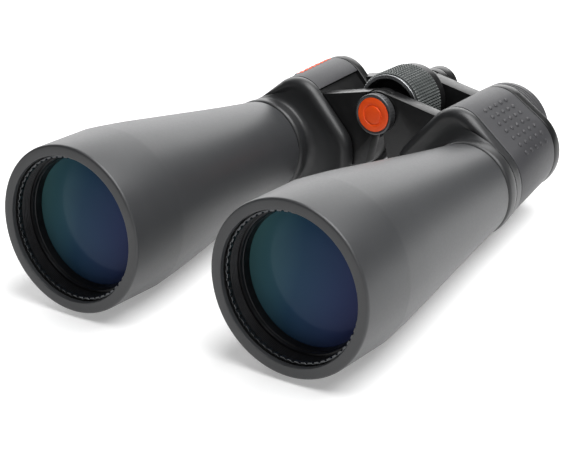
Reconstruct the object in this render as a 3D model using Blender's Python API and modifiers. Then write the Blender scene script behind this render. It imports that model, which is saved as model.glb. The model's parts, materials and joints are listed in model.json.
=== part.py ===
"""Astronomy binoculars: a Porro-prism pair with 70 mm objectives, centre focus and a tripod socket.

Lengths are in millimetres and become metres as each mesh is made. The design frame is level: Y runs
along the light path from the objectives to the eyepieces, Z is up and X = 0 is the plane of the hinge.
The user's left half is at +X. At the end the whole assembly is pitched and lifted, so that it lies as
it does on a table: on the two front rims and the two eyecups, with Z = 0 at the table.
"""
import math

import bmesh
import bpy
from mathutils import Matrix, Vector

MM = 0.001
GAP = 0.3                   # clearance between neighbouring pieces
MERGE = 0.00001             # merge distance of the turned pieces, in metres
STEPS = 32                  # facets round an outer shell
INNER_STEPS = 24            # facets round the pieces inside the shells
SMALL_STEPS = 16            # facets round a small piece

# Optical layout: three axes parallel to Y
OBJECTIVE_X = 66.2
EYEPIECE_X, EYEPIECE_Z = 32.5, 2.0
HINGE_Z = 27.0

# Objective barrel: a straight front, then a taper; (radius, y) from back to front
RIM_RADIUS = 44.0
MOUTH_RADIUS = 38.2
BARREL_TAPER = ((25.8, 164.2), (26.4, 160), (29.1, 140), (32.0, 120), (35.0, 100), (38.0, 80),
                (41.0, 60), (42.9, 45), (RIM_RADIUS, 35))
ARMOUR_THICKNESS = 1.8
TUBE_WALL = 1.6
TUBE_END = 172.0            # the metal tube's spigot ends inside the front cover
LIP_DEPTH = 2.6             # the armour folds this deep over the tube's front end
CELL_FRONT, CELL_BACK = 5.7, 31.0
LENS_RADIUS = 35.0
LENS_STOP = 34.3            # clear aperture in front of the lens

# Prism housing: the outline is the hull of these circles (x, z, radius); the outer side rises to the back
EYEPIECE_CIRCLES = ((33.0, 2.0, 17.0), (33.0, -3.0, 17.0))
FRONT_CIRCLES = ((OBJECTIVE_X, 0.6, 24.0), (51.4, 21.5, 17.6)) + EYEPIECE_CIRCLES
BACK_CIRCLES = ((64.6, 7.6, 23.6), (52.6, 22.8, 17.8)) + EYEPIECE_CIRCLES
HOUSING_STEPS = 40          # facets round the housing, the same for every layer
COLLAR_RADIUS = 26.2        # front cover where it meets the barrel
COVER_FRONT, COVER_FACE, COVER_BACK = 165.0, 175.0, 182.0
TUBE_ROOM, TUBE_ROOM_END = 25.2, 178.0      # the front cover bulges round the tube's end
HOUSING_FRONT, HOUSING_BACK = 182.9, 223.1
COVER_ROOM = (0.5, 182.85)  # the arm stands back from the front cover: margin round it, depth in Y
BAND_THICKNESS = 1.7
BAND_FROM, BAND_TO = -108, 135      # facing angles between which the armour wraps the housing
CASTING_WALL = 2.0
REAR_FRONT, REAR_BACK = 223.4, 230.8
SCREW_ANGLES = (90, -75)    # facing angles of the cover screws

# Porro prisms, 45 degrees across the line between the axes
PRISM_SHIFT = (OBJECTIVE_X - EYEPIECE_X) / 2        # sideways and upward shift of the light path
PRISM_HALF = PRISM_SHIFT * math.sqrt(2)             # half the long face
PRISM_HALF_WIDTH = 11.6
PRISM_FLAT = 4.2                                    # half width of the ground apex
PLATE_FRONT, PLATE_BACK = 199.2, 201.6
STRAP_THICKNESS, STRAP_WIDTH = 0.5, 6.0

# Hinge: each half's arm ends in a lug that takes half of the arm's thickness
ARM_FRONT = (182.5, 191.0)
ARM_REAR = (225.8, 236.0)
LUG_RADIUS = 12.0
LUG_CLEARANCE = 12.6
LUG_STEP = 0.2              # a lug stands this much proud of its arm
LUG_GAP = 0.5               # between the two lugs
AXLE_RADIUS = 6.0
BRIDGE = (239.8, 250.2)
HUB_RADIUS = 11.0

# Eyepieces
OCULAR_RADIUS = 12.4
NECK_RADIUS = 16.4          # the barrel's neck, which the grip ring turns on
GUIDE_RADIUS = 15.5
SHELL_RADIUS = 19.2
EYECUP_RADIUS = 25.2
EYECUP_END = 278.0

SIDES = {"left": 1, "right": -1}


# ---------------------------------------------------------------------------------------------------
# Making tools
# ---------------------------------------------------------------------------------------------------

for old in list(bpy.data.objects):
    bpy.data.objects.remove(old)

parts = bpy.data.collections.new("astronomy_binoculars")
cutters = bpy.data.collections.new("cutters")
for collection in (parts, cutters):
    bpy.context.scene.collection.children.link(collection)


def make_material(name, colour, roughness, metallic):
    """Return a Principled material."""
    material = bpy.data.materials.new(name)
    material.use_nodes = True
    shader = material.node_tree.nodes["Principled BSDF"]
    shader.inputs["Base Color"].default_value = (*colour, 1.0)
    shader.inputs["Roughness"].default_value = roughness
    shader.inputs["Metallic"].default_value = metallic
    return material


RUBBER = make_material("rubber_armour", (0.045, 0.046, 0.048), 0.55, 0.0)
BLACK_METAL = make_material("satin_black_metal", (0.025, 0.025, 0.027), 0.35, 0.6)
INNER_METAL = make_material("anodised_black", (0.012, 0.012, 0.013), 0.3, 0.5)
ALUMINIUM = make_material("aluminium", (0.62, 0.63, 0.64), 0.3, 1.0)
STEEL = make_material("steel", (0.5, 0.5, 0.5), 0.3, 1.0)
BRASS = make_material("brass", (0.7, 0.52, 0.25), 0.3, 1.0)
COATED_GLASS = make_material("coated_glass", (0.05, 0.11, 0.2), 0.05, 0.0)
PRISM_GLASS = make_material("prism_glass", (0.75, 0.8, 0.8), 0.05, 0.0)
ORANGE = make_material("orange_plastic", (0.78, 0.12, 0.01), 0.35, 0.0)
KNURL = make_material("knurled_rubber", (0.07, 0.075, 0.075), 0.5, 0.0)


def add_frame(name, origin, parent=None):
    """Add an empty at origin; the pieces that move together hang from it."""
    frame = bpy.data.objects.new(name, None)
    frame.empty_display_size = 0.02
    frame["origin_mm"] = origin
    parts.objects.link(frame)
    if parent:
        put(frame, parent, origin)
    return frame


def put(item, frame, point):
    """Hang item from frame, with its own origin at point."""
    item.parent = frame
    item.location = (Vector(point) - Vector(frame["origin_mm"])) * MM


def add_piece(name, mesh, frame, point, finish):
    """Link a mesh as a piece, or as a cutter where it has no finish."""
    piece = bpy.data.objects.new(name, mesh)
    put(piece, frame, point)
    if finish:
        parts.objects.link(piece)
        mesh.materials.append(finish)
    else:
        cutters.objects.link(piece)
        piece.hide_render = True
        piece.display_type = "WIRE"
    return piece


def finish_mesh(name, edit):
    """Turn the edited faces outward and return them as a smooth mesh with sharp corners."""
    bmesh.ops.recalc_face_normals(edit, faces=edit.faces)
    mesh = bpy.data.meshes.new(name)
    edit.to_mesh(mesh)
    edit.free()
    mesh.shade_smooth()
    mesh.set_sharp_from_angle(angle=math.radians(35))
    return mesh


def turned(name, profile, centre, frame, finish, steps=INNER_STEPS):
    """Turn (radius, y) points about the line through centre (x, z) that runs along Y.

    The points run from back to front outside and return inside; a profile on the axis is solid.
    """
    edit = bmesh.new()
    verts = [edit.verts.new((radius * MM, 0, y * MM)) for radius, y in profile]
    if profile[0][0] > 0:
        verts.append(verts[0])
    for first, second in zip(verts, verts[1:]):
        edit.edges.new((first, second))
    mesh = bpy.data.meshes.new(name)
    edit.to_mesh(mesh)
    edit.free()
    piece = add_piece(name, mesh, frame, (centre[0], 0, centre[1]), finish)
    piece.rotation_euler.x = -math.pi / 2
    screw = piece.modifiers.new("turn", "SCREW")
    screw.steps = steps
    screw.render_steps = steps
    screw.use_merge_vertices = True
    screw.merge_threshold = MERGE
    screw.use_smooth_shade = True
    return piece


def rod(name, radius, span, centre, frame, finish=None, steps=SMALL_STEPS):
    """A plain cylinder along Y from span[0] to span[1]."""
    edit = bmesh.new()
    bmesh.ops.create_cone(edit, cap_ends=True, segments=steps, radius1=radius * MM,
                          radius2=radius * MM, depth=(span[1] - span[0]) * MM)
    bmesh.ops.rotate(edit, verts=edit.verts, matrix=Matrix.Rotation(math.pi / 2, 3, "X"))
    middle = (span[0] + span[1]) / 2
    return add_piece(name, finish_mesh(name, edit), frame, (centre[0], middle, centre[1]), finish)


def tube(name, outer, inner, span, centre, frame, finish, steps=SMALL_STEPS):
    """A plain tube along Y."""
    profile = ((outer, span[1]), (outer, span[0]), (inner, span[0]), (inner, span[1]))
    return turned(name, profile, centre, frame, finish, steps)


def slab(name, outline, span, frame, finish=None, bevel=0.0):
    """Extrude an outline of (x, z) points along Y, with rounded rims where bevel is given."""
    edit = bmesh.new()
    face = edit.faces.new([edit.verts.new((x * MM, span[0] * MM, z * MM)) for x, z in outline])
    grown = bmesh.ops.extrude_face_region(edit, geom=[face])
    moved = [item for item in grown["geom"] if isinstance(item, bmesh.types.BMVert)]
    bmesh.ops.translate(edit, verts=moved, vec=(0, (span[1] - span[0]) * MM, 0))
    piece = add_piece(name, finish_mesh(name, edit), frame, (0, 0, 0), finish)
    if bevel:
        rounding = piece.modifiers.new("rounding", "BEVEL")
        rounding.width = bevel * MM
        rounding.segments = 1
        rounding.angle_limit = math.radians(60)
    return piece


def loft(name, rings, frame, finish=None, capped=False):
    """Skin rings of (x, y, z) points, each with the same count; the last ring joins the first.

    A capped loft is solid: a flat face closes each end instead.
    """
    edit = bmesh.new()
    loops = [[edit.verts.new(Vector(point) * MM) for point in ring] for ring in rings]
    pairs = list(zip(loops, loops[1:]))
    if capped:
        edit.faces.new(loops[0])
        edit.faces.new(loops[-1])
    else:
        pairs.append((loops[-1], loops[0]))
    for near, far in pairs:
        for k in range(len(near)):
            edit.faces.new((near[k - 1], near[k], far[k], far[k - 1]))
    return add_piece(name, finish_mesh(name, edit), frame, (0, 0, 0), finish)


def combine(piece, tool, operation):
    """Unite a tool with a piece, or cut the piece with it."""
    step = piece.modifiers.new(tool.name, "BOOLEAN")
    step.object = tool
    step.operation = operation


def hull_point(circles, facing, offset, side):
    """The point of the hull of circles that faces the given angle, moved out by offset."""
    across, up = math.cos(facing), math.sin(facing)
    x, z, radius = max(circles, key=lambda circle: circle[0] * across + circle[1] * up + circle[2])
    return side * (x + (radius + offset) * across), z + (radius + offset) * up


def hull(circles, offset, side, count=STEPS, start=0, end=360):
    """Points of the hull of circles, from one facing angle to another, in degrees."""
    steps = count if end - start == 360 else count + 1
    angles = [math.radians(start + (end - start) * k / count) for k in range(steps)]
    return [hull_point(circles, angle, offset, side) for angle in angles]


def parabola(radius, edge, vertex, count=3):
    """Points (radius, y) of a shallow lens face, from its edge towards its vertex on the axis."""
    shares = [1 - k / count for k in range(count + 1)]
    return [(radius * share, vertex + (edge - vertex) * share ** 2) for share in shares]


# ---------------------------------------------------------------------------------------------------
# Objective barrels
# ---------------------------------------------------------------------------------------------------

def barrel_armour(label, centre, frame):
    """Rubber skin with a thick rounded rim that folds over the tube's front end."""
    inner = [(radius - ARMOUR_THICKNESS, y) for radius, y in BARREL_TAPER[::4]]
    lip = [(RIM_RADIUS - ARMOUR_THICKNESS, LIP_DEPTH), (MOUTH_RADIUS, LIP_DEPTH), (MOUTH_RADIUS, 0)]
    rim = [(RIM_RADIUS, 1.6), (RIM_RADIUS - 0.5, 0.5), (RIM_RADIUS - 1.6, 0)]
    profile = list(BARREL_TAPER) + rim + lip[::-1] + inner[::-1]
    turned(label + "_barrel_armour", profile, centre, frame, RUBBER, STEPS)


def objective_tube(label, centre, frame):
    """Metal tube under the armour, bored out at the front for the lens cell."""
    skin = ARMOUR_THICKNESS + GAP
    outer = [(radius - skin, y) for radius, y in BARREL_TAPER[::4]]
    back = outer[0][0]
    front = LIP_DEPTH + GAP
    bore = [(MOUTH_RADIUS, front), (MOUTH_RADIUS, CELL_BACK + 1), (36.6, CELL_BACK + 2)]
    inner = [(radius - TUBE_WALL, y) for radius, y in outer[1::-1]]
    profile = ([(back, TUBE_END)] + outer + [(RIM_RADIUS - skin, front)] + bore + inner
               + [(back - TUBE_WALL, TUBE_END)])
    turned(label + "_objective_tube", profile, centre, frame, BLACK_METAL)


def retaining_ring(label, centre, frame):
    """Threaded ring with teeth round its inner edge, just inside the mouth."""
    front, back = LIP_DEPTH + 2 * GAP, CELL_FRONT - GAP
    teeth = 30
    outer, valley, tip = 37.5, 36.9, 36.3
    turn = [math.pi * k / teeth for k in range(2 * teeth)]
    inner_radii = [tip if k % 2 else valley for k in range(2 * teeth)]
    inner = [(radius * math.cos(a), radius * math.sin(a)) for radius, a in zip(inner_radii, turn)]
    rim = [(outer * math.cos(a), outer * math.sin(a)) for a in turn]
    sections = ((rim, front), (rim, back), (inner, back), (inner, front))
    rings = [[(centre[0] + x, y, centre[1] + z) for x, z in points] for points, y in sections]
    loft(label + "_retaining_ring", rings, frame, INNER_METAL)


def objective_cell(label, centre, frame):
    """Stepped sleeve with the stop that the doublet seats against from behind."""
    outer = MOUTH_RADIUS - GAP
    seat = LENS_RADIUS + GAP
    profile = ((outer, CELL_BACK), (outer, CELL_FRONT), (37.0, CELL_FRONT), (37.0, 11.8), (35.5, 11.9),
               (LENS_STOP, 17.6), (LENS_STOP, 17.8), (seat, 17.8), (seat, CELL_BACK))
    turned(label + "_objective_cell", profile, centre, frame, INNER_METAL)


def objective_lenses(label, centre, frame):
    """Crown and flint elements of the achromatic doublet."""
    crown = parabola(LENS_RADIUS, 20.6, 24.0)[::-1] + parabola(LENS_RADIUS, 18.2, 14.3)
    flint = parabola(LENS_RADIUS, 27.4, 28.5)[::-1] + parabola(LENS_RADIUS, 21.0, 24.4)
    turned(label + "_crown_lens", crown, centre, frame, COATED_GLASS)
    turned(label + "_flint_lens", flint, centre, frame, PRISM_GLASS)


# ---------------------------------------------------------------------------------------------------
# Prism housings
# ---------------------------------------------------------------------------------------------------

def housing_outline(y, offset, side, start=0, end=360):
    """Outline of the housing at depth y, moved out by offset."""
    share = (y - COVER_BACK) / (REAR_FRONT - COVER_BACK)
    count = round((end - start) * HOUSING_STEPS / 360)
    front = hull(FRONT_CIRCLES, offset, side, count, start, end)
    back = hull(BACK_CIRCLES, offset, side, count, start, end)
    return [(x0 + (x1 - x0) * share, z0 + (z1 - z0) * share) for (x0, z0), (x1, z1) in zip(front, back)]


def housing_solid(name, offset, span, side, frame, finish=None):
    """A solid that follows the housing's outline over a span in Y."""
    rings = [[(x, y, z) for x, z in housing_outline(y, offset, side)] for y in span]
    return loft(name, rings, frame, finish, True)


def cover_ring(y, share, offset, wall, side):
    """A ring of the front cover, between the barrel's circle (share 0) and the housing's outline (1).

    Up to TUBE_ROOM_END the ring also goes round the tube, with wall taken off for the inside.
    """
    floor = TUBE_ROOM - wall if y < TUBE_ROOM_END else 0
    collar = hull(((OBJECTIVE_X, 0, COLLAR_RADIUS + offset),), 0, side)
    shrunk = [(x, z, radius + offset) for x, z, radius in FRONT_CIRCLES]
    outline = hull(shrunk + [(OBJECTIVE_X, 0, floor)], 0, side)
    return [(x0 + (x1 - x0) * share, y, z0 + (z1 - z0) * share)
            for (x0, z0), (x1, z1) in zip(collar, outline)]


def front_cover(label, side, frame):
    """Shoulder from the round barrel to the housing's outline, with a rounded ridge at its edge."""
    front, face, back = COVER_FRONT, COVER_FACE, COVER_BACK
    # (y, share, offset), each from front to back
    outside = ((front, 0, -0.8), (front + 0.8, 0, 0), (front + 6.5, 0, 0.4), (face - 0.8, 0.2, 0),
               (face - 0.3, 1, -6.5), (face + 0.1, 1, -3.5), (face + 1.2, 1, -0.8), (face + 3.2, 1, 0),
               (back, 1, 0))
    inside = ((front, 0, -2.0), (front + 7.6, 0, -2.0), (face + 1.0, 0.2, -2.2), (face + 2.6, 1, -6.5),
              (back, 1, -2.4))
    rings = [cover_ring(y, share, offset, 0, side) for y, share, offset in outside]
    rings += [cover_ring(y, share, offset, 2.4, side) for y, share, offset in inside[::-1]]
    loft(label + "_front_cover", rings, frame, RUBBER)


def screw_places(side):
    """Centres (x, z) of the rear cover's screws."""
    return [hull_point(BACK_CIRCLES, math.radians(angle), -6.2, side) for angle in SCREW_ANGLES]


def add_hinge_arm(piece, outline, span, lug_radius, clearance, side, frame, bore):
    """Unite an arm and its lug with a piece; the left lug takes the front half, the right the back."""
    hinge = (0, HINGE_Z)
    middle = (span[0] + span[1]) / 2
    fronts = (span[0] - LUG_STEP, middle - LUG_GAP / 2)
    backs = (middle + LUG_GAP / 2, span[1] + LUG_STEP)
    own, other = (fronts, backs) if side > 0 else (backs, fronts)
    room = (other[0] - LUG_GAP * 0.8, other[1] + LUG_GAP * 0.8)
    name = piece.name
    combine(piece, slab(name + "_arm", outline, span, frame), "UNION")
    lug_room = rod(name + "_lug_room", clearance, room, hinge, frame, steps=INNER_STEPS)
    combine(piece, lug_room, "DIFFERENCE")
    lug = rod(name + "_lug", lug_radius, own, hinge, frame, steps=INNER_STEPS)
    combine(piece, lug, "UNION")
    combine(piece, rod(name + "_hinge_bore", bore, (span[0] - 5, span[1] + 5), hinge, frame), "DIFFERENCE")


def housing_arm_outline(side, bottom):
    """An arm from the hinge to inside the housing; its lower edge leaves room to fold."""
    points = ((1.5, 22), (1.5, 38.4), (5, 38.2), (14, 36.2), (27, 33.4), (40, 30.6), (40, bottom),
              (22, bottom), (0.25 * (HINGE_Z - bottom - 4), bottom + 4))
    return [(side * x, z) for x, z in points]


def prism_housing(label, side, frame):
    """Open casting with the front hinge arm and two screw bosses."""
    skin = BAND_THICKNESS + GAP
    name = label + "_prism_housing"
    housing = housing_solid(name, -skin, (HOUSING_FRONT, HOUSING_BACK), side, frame, BLACK_METAL)
    add_hinge_arm(housing, housing_arm_outline(side, -8), ARM_FRONT, LUG_RADIUS, LUG_CLEARANCE, side,
                  frame, AXLE_RADIUS + GAP)
    margin, depth = COVER_ROOM
    room = housing_outline(COVER_BACK, margin, side)
    combine(housing, slab(name + "_cover_room", room, (COVER_FACE, depth), frame), "DIFFERENCE")
    hollow = housing_solid(name + "_cavity", -skin - CASTING_WALL, (HOUSING_FRONT - 3, HOUSING_BACK + 3),
                           side, frame)
    combine(housing, hollow, "DIFFERENCE")
    for k, place in enumerate(screw_places(side)):
        boss = rod(f"{name}_boss_{k}", 3.6, (211.5, HOUSING_BACK - 0.1), place, frame, steps=12)
        hole = rod(f"{name}_hole_{k}", 1.6, (213.6, HOUSING_BACK + 1), place, frame, steps=12)
        combine(housing, boss, "UNION")
        combine(housing, hole, "DIFFERENCE")


def grip_armour(label, side, frame):
    """Rubber band round the housing, open on the hinge side."""
    rings = []
    for y in (COVER_BACK + GAP, REAR_FRONT - GAP):
        outer = housing_outline(y, 0, side, BAND_FROM, BAND_TO)
        inner = housing_outline(y, -BAND_THICKNESS, side, BAND_FROM, BAND_TO)
        rings.append([(x, y, z) for x, z in outer + inner[::-1]])
    loft(label + "_grip_armour", rings, frame, RUBBER, True)


def rear_cover(label, side, frame):
    """Plate that closes the housing, with the rear hinge arm and the eyepiece's guide."""
    name = label + "_rear_cover"
    eyepiece = (side * EYEPIECE_X, EYEPIECE_Z)
    outline = housing_outline(REAR_FRONT, 0, side)
    plate = slab(name, outline, (REAR_FRONT, REAR_BACK), frame, BLACK_METAL, 1.2)
    add_hinge_arm(plate, housing_arm_outline(side, 2), ARM_REAR, LUG_RADIUS, LUG_CLEARANCE, side,
                  frame, AXLE_RADIUS + GAP)
    guide = rod(name + "_guide", GUIDE_RADIUS, (226, 235.6), eyepiece, frame, steps=INNER_STEPS)
    combine(plate, guide, "UNION")
    bore = rod(name + "_bore", OCULAR_RADIUS + GAP, (220, 240), eyepiece, frame, steps=INNER_STEPS)
    combine(plate, bore, "DIFFERENCE")
    for k, place in enumerate(screw_places(side)):
        hole = rod(f"{name}_hole_{k}", 1.6, (222, 232), place, frame, steps=12)
        combine(plate, hole, "DIFFERENCE")
        head = ((0, 232.6), (1.0, 232.6), (2.7, 232.0), (2.7, REAR_BACK + GAP),
                (1.3, REAR_BACK + GAP), (1.3, 214), (0, 214))
        turned(f"{label}_cover_screw_{k + 1}", head, place, frame, STEEL, 12)


def strap_lug(label, side, frame):
    """Wire bail on the back of the rear cover."""
    reach = 8.0
    half = 5.5
    corner = 2.0
    x, z, base = side * 78.0, 0.0, REAR_BACK + GAP
    path = [(-half, 0), (-half, reach - corner), (-half + corner, reach), (half - corner, reach),
            (half, reach - corner), (half, 0)]
    wire = bpy.data.curves.new(label + "_strap_lug", "CURVE")
    wire.dimensions = "3D"
    wire.bevel_depth = 1.3 * MM
    wire.bevel_resolution = 1
    wire.use_fill_caps = True
    spline = wire.splines.new("POLY")
    spline.points.add(len(path) - 1)
    for point, (along, out) in zip(spline.points, path):
        point.co = (0, out * MM, along * MM, 1)
    add_piece(wire.name, wire, frame, (x, base, z), STEEL)


# ---------------------------------------------------------------------------------------------------
# Prisms
# ---------------------------------------------------------------------------------------------------

def porro_prism(name, centre, angle, base, apex, frame):
    """A round-ended right-angle prism; its long face is at base and its ground apex at apex."""
    run = PRISM_HALF - PRISM_HALF_WIDTH
    along = Vector((math.cos(angle), math.sin(angle)))
    ends = [(centre[0] + along.x * run * way, centre[1] + along.y * run * way, PRISM_HALF_WIDTH)
            for way in (1, -1)]
    edit = bmesh.new()
    outline = hull(ends, 0, 1, 24)
    face = edit.faces.new([edit.verts.new((x * MM, base * MM, z * MM)) for x, z in outline])
    grown = bmesh.ops.extrude_face_region(edit, geom=[face])
    moved = [item for item in grown["geom"] if isinstance(item, bmesh.types.BMVert)]
    bmesh.ops.translate(edit, verts=moved, vec=(0, (apex - base) * MM, 0))
    outward = math.copysign(1, apex - base)
    for way in (1, -1):
        normal = Vector((along.x * way, outward, along.y * way))
        end = PRISM_HALF * way
        lifted = Vector((centre[0] + along.x * end, base + outward * 0.6, centre[1] + along.y * end))
        cut = bmesh.ops.bisect_plane(edit, geom=edit.verts[:] + edit.edges[:] + edit.faces[:],
                                     plane_co=lifted * MM, plane_no=normal, clear_outer=True)
        rim = [item for item in cut["geom_cut"] if isinstance(item, bmesh.types.BMEdge)]
        bmesh.ops.contextual_create(edit, geom=rim)
    add_piece(name, finish_mesh(name, edit), frame, (0, 0, 0), PRISM_GLASS)


def prism_strap(name, centre, angle, base, apex, frame):
    """Spring strap that passes over a prism's apex and down both sides."""
    outward = math.copysign(1, apex - base)
    across = Vector((-math.sin(angle), math.cos(angle)))
    along = Vector((math.cos(angle), math.sin(angle)))
    reach = PRISM_HALF_WIDTH + GAP
    top = apex + outward * GAP
    foot = base + outward * GAP
    outer_top = top + outward * STRAP_THICKNESS
    shape = ((-reach, foot), (-reach, top), (reach, top), (reach, foot), (reach + STRAP_THICKNESS, foot),
             (reach + STRAP_THICKNESS, outer_top), (-reach - STRAP_THICKNESS, outer_top),
             (-reach - STRAP_THICKNESS, foot))
    half = STRAP_WIDTH / 2
    edit = bmesh.new()
    corners = []
    for sideways, y in shape:
        x, z = Vector(centre) + across * sideways - along * half
        corners.append(edit.verts.new((x * MM, y * MM, z * MM)))
    grown = bmesh.ops.extrude_face_region(edit, geom=[edit.faces.new(corners)])
    moved = [item for item in grown["geom"] if isinstance(item, bmesh.types.BMVert)]
    bmesh.ops.translate(edit, verts=moved, vec=(along.x * 2 * half * MM, 0, along.y * 2 * half * MM))
    add_piece(name, finish_mesh(name, edit), frame, (0, 0, 0), STEEL)


def prism_set(label, side, frame):
    """Plate with three light holes and a crossed prism on each face of it."""
    axes = [OBJECTIVE_X - PRISM_SHIFT * k for k in range(3)]
    heights = [0, PRISM_SHIFT, EYEPIECE_Z]
    room = BAND_THICKNESS + CASTING_WALL + 2 * GAP + 0.1
    plate = housing_solid(label + "_prism_plate", -room, (PLATE_FRONT, PLATE_BACK), side, frame, BLACK_METAL)
    for k, place in enumerate(zip(axes, heights)):
        hole = rod(f"{plate.name}_hole_{k}", 10.4, (PLATE_FRONT - 2, PLATE_BACK + 2),
                   (side * place[0], place[1]), frame)
        combine(plate, hole, "DIFFERENCE")
    depth = PRISM_HALF - PRISM_FLAT
    middle = PRISM_SHIFT / 2
    stations = (("front", side * (axes[1] - middle), side * math.radians(45), PLATE_FRONT - GAP, -1),
                ("rear", side * (axes[0] - middle), side * math.radians(-45), PLATE_BACK + GAP, 1))
    for where, x, angle, base, outward in stations:
        apex = base + outward * depth
        porro_prism(f"{label}_{where}_prism", (x, middle), angle, base, apex, frame)
        prism_strap(f"{label}_{where}_prism_strap", (x, middle), angle, base, apex, frame)


# ---------------------------------------------------------------------------------------------------
# Eyepieces
# ---------------------------------------------------------------------------------------------------

def bridge_arm(label, side, frame):
    """Arm from the focus spindle to the eyepiece, with the ring that holds the ocular."""
    eyepiece = (side * EYEPIECE_X, EYEPIECE_Z)
    name = label + "_bridge_arm"
    arm = rod(name, 18.5, BRIDGE, eyepiece, frame, BLACK_METAL, INNER_STEPS)
    outline = hull(((0, HINGE_Z, 5.5), (EYEPIECE_X, EYEPIECE_Z, 16.0)), 0, side)
    span = (BRIDGE[0] + 0.2, BRIDGE[1] - 0.2)
    add_hinge_arm(arm, outline, span, HUB_RADIUS, HUB_RADIUS + 0.5, side, frame, 4.4)
    bore = rod(name + "_bore", OCULAR_RADIUS + GAP, (BRIDGE[0] - 2, BRIDGE[1] + 2), eyepiece, frame,
               steps=INNER_STEPS)
    combine(arm, bore, "DIFFERENCE")


def ocular(label, side, frame):
    """Ocular barrel with its two lens groups and the rubber eyecup."""
    centre = (side * EYEPIECE_X, EYEPIECE_Z)
    barrel = ((18.2, 264.6), (SHELL_RADIUS, 263.6), (SHELL_RADIUS, 257.2), (NECK_RADIUS, 257.2),
              (NECK_RADIUS, 252.2), (OCULAR_RADIUS, 252.2), (OCULAR_RADIUS, 226), (10.9, 226),
              (10.9, 260), (11.7, 260), (11.7, 263.8), (13.0, 264.6))
    turned(label + "_ocular_barrel", barrel, centre, frame, BLACK_METAL)
    field = parabola(10.6, 237.2, 239.4, 2)[::-1] + parabola(10.6, 235.4, 234.2, 2)
    eye = parabola(11.4, 262.2, 264.0, 2)[::-1] + parabola(11.4, 260.3, 260.3, 1)
    turned(label + "_field_lens", field, centre, frame, PRISM_GLASS, SMALL_STEPS)
    turned(label + "_eye_lens", eye, centre, frame, COATED_GLASS, SMALL_STEPS)
    cup = ((24.2, EYECUP_END), (EYECUP_RADIUS, 276.8), (EYECUP_RADIUS, 266), (24.4, 262), (21.8, 259),
           (21.4, 257.4), (SHELL_RADIUS + GAP, 257.4), (SHELL_RADIUS + GAP, 265.4), (21.2, 274),
           (22.8, EYECUP_END))
    turned(label + "_eyecup", cup, centre, frame, RUBBER)


def eyepiece_ring(name, side, frame):
    """Grip ring between the bridge and the ocular's shell; the right one sets the diopter."""
    ridges = 24
    centre = (side * EYEPIECE_X, EYEPIECE_Z)
    turn = [math.pi * k / ridges for k in range(2 * ridges)]
    outer_radii = [20.6 if k % 2 else 20.0 for k in range(2 * ridges)]
    outer = [(radius * math.cos(a), radius * math.sin(a)) for radius, a in zip(outer_radii, turn)]
    inner = [((NECK_RADIUS + GAP) * math.cos(a), (NECK_RADIUS + GAP) * math.sin(a)) for a in turn]
    front, back = BRIDGE[1] + GAP, 255.0
    sections = ((outer, front), (outer, back), (inner, back), (inner, front))
    rings = [[(centre[0] + x, y, centre[1] + z) for x, z in points] for points, y in sections]
    loft(name, rings, frame, KNURL)


# ---------------------------------------------------------------------------------------------------
# Hinge, focus drive and tripod socket
# ---------------------------------------------------------------------------------------------------

def hinge_core(hinge, frame):
    """Axle tube, its washers and the threaded tripod bush in its front end."""
    axle = ((AXLE_RADIUS, 235.7), (AXLE_RADIUS, 182.9), (4.95, 182.9), (4.95, 192), (4.25, 192),
            (4.25, 235.7))
    turned("hinge_axle", axle, hinge, frame, STEEL, SMALL_STEPS)
    tube("tripod_bush", 4.65, 3.35, (183.2, 191.6), hinge, frame, BRASS)
    tube("front_washer", 10, 6.4, (191.5, 192.1), hinge, frame, STEEL)
    tube("rear_washer", 10, 6.4, (223.8, 225.3), hinge, frame, STEEL)


def tripod_cap(hinge, seal_frame, cap_frame):
    """Screw-in cap of the tripod socket with its inlay, and the seal behind it."""
    cap = ((0, 190), (3.0, 190), (3.0, 180.6), (9.4, 180.6), (9.4, 181.7), (11.3, 181.7), (11.5, 181.4),
           (11.5, 178.0), (11.2, 177.2), (10.4, 176.7), (9.9, 176.7), (9.9, 177.5), (0, 177.5))
    turned("tripod_cap", cap, hinge, cap_frame, BLACK_METAL)
    inlay = ((0, 177.2), (9.6, 177.2), (9.6, 176.7), (9.3, 176.5), (0, 176.5))
    turned("cap_inlay", inlay, hinge, cap_frame, ORANGE)
    tube("cap_seal", 9.0, 3.4, (180.9, 181.75), hinge, seal_frame, RUBBER)


def focus_wheel(hinge, frame):
    """Wheel between the front and rear arms: core, knurled grip and bright trim ring."""
    core = ((18.8, 223.4), (18.8, 217.7), (17.5, 217.7), (17.5, 194.7), (15.8, 194.7), (14.0, 200),
            (8.6, 200), (8.6, 192.5), (6.3, 192.5), (6.3, 223.4))
    turned("focus_wheel_core", core, hinge, frame, BLACK_METAL)
    trim = ((18.6, 194.3), (18.6, 193.2), (18.2, 192.8), (16.8, 192.8), (16.2, 194.3))
    turned("focus_wheel_trim", trim, hinge, frame, ALUMINIUM)
    ridges = 40
    turn = [math.pi * k / ridges for k in range(2 * ridges)]
    outer_radii = [19.9 if k % 2 else 19.2 for k in range(2 * ridges)]
    outer = [(radius * math.cos(a), radius * math.sin(a)) for radius, a in zip(outer_radii, turn)]
    inner = [(17.9 * math.cos(a), 17.9 * math.sin(a)) for a in turn]
    sections = ((outer, 194.7), (outer, 217.4), (inner, 217.4), (inner, 194.7))
    rings = [[(hinge[0] + x, y, hinge[1] + z) for x, z in points] for points, y in sections]
    loft("focus_wheel_grip", rings, frame, KNURL)


def focus_spindle(hinge, frame):
    """Rod inside the axle that carries the bridge, and the cap on its end."""
    rod("focus_spindle", 3.9, (198, 250.5), hinge, frame, STEEL)
    cap = ((0, 252.3), (9.6, 252.3), (10.9, 251.5), (10.9, 250.8), (0, 250.8))
    turned("bridge_cap", cap, hinge, frame, BLACK_METAL)


# ---------------------------------------------------------------------------------------------------
# Assembly
# ---------------------------------------------------------------------------------------------------

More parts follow.
